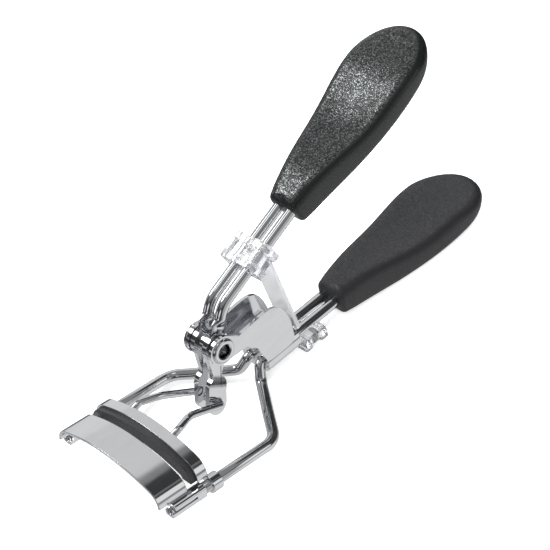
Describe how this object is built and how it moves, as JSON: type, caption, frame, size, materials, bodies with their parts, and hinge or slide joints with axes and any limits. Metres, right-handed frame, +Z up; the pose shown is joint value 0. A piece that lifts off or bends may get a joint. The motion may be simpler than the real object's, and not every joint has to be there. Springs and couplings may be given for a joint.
{
  "type": "eyelash curler",
  "caption": "Eyelash curler with a sprung wire frame, arched plate, padded sliding jaw and black teardrop grips.",
  "frame": {"origin": "centre of the footprint on the table, at the bottom of the tool as it lies on its rail corners and its lower grip", "axes": "+Z up from the table, +Y from the jaw towards the ends of the handles, X across the tool, perpendicular to its plane of symmetry"},
  "size_m": [0.0366, 0.1092, 0.0503],
  "materials": {
    "chrome": "polished",
    "grip_speckled": "black with a fine silver speckle on the upper face",
    "grip_plastic": "satin black",
    "clear_plastic": "clear moulded plastic",
    "pad_rubber": "matte"
  },
  "bodies": {
    "frame": {"frame_wire_left": "chrome", "frame_wire_right": "chrome", "rail_sleeve_left": "chrome", "rail_sleeve_right": "chrome", "front_plate": "chrome", "hinge_bracket": "chrome", "pivot_rivet": "chrome", "pivot_washer_left": "chrome", "pivot_washer_right": "chrome", "lower_grip": "grip_plastic", "spring_collar_lower": "clear_plastic", "spring_strip": "clear_plastic"},
    "lever": {"lever_wire_left": "chrome", "lever_wire_right": "chrome", "pivot_spacer": "chrome", "spring_collar_upper": "clear_plastic", "upper_grip": "grip_speckled"},
    "jaw": {"pad_holder": "chrome", "rubber_pad": "pad_rubber", "yoke_wire_left": "chrome", "yoke_wire_right": "chrome"}
  },
  "joints": [
    {"name": "lever_hinge", "type": "hinge", "parent": "frame", "child": "lever", "pos_m": [0, -0.02312, 0.01764], "axis": [-1, 0, 0], "range_deg": [-22, 6], "stiffness_Nm_per_rad": 1, "deforming": ["spring_strip"]},
    {"name": "jaw_slide", "type": "slide", "parent": "frame", "child": "jaw", "axis": [0, -0.9785, 0.2062], "range_m": [-0.005, 0.00137]}
  ],
  "couplings": [
    {"joint": "jaw_slide", "follows": "lever_hinge", "m_per_rad": 0.013}
  ]
}
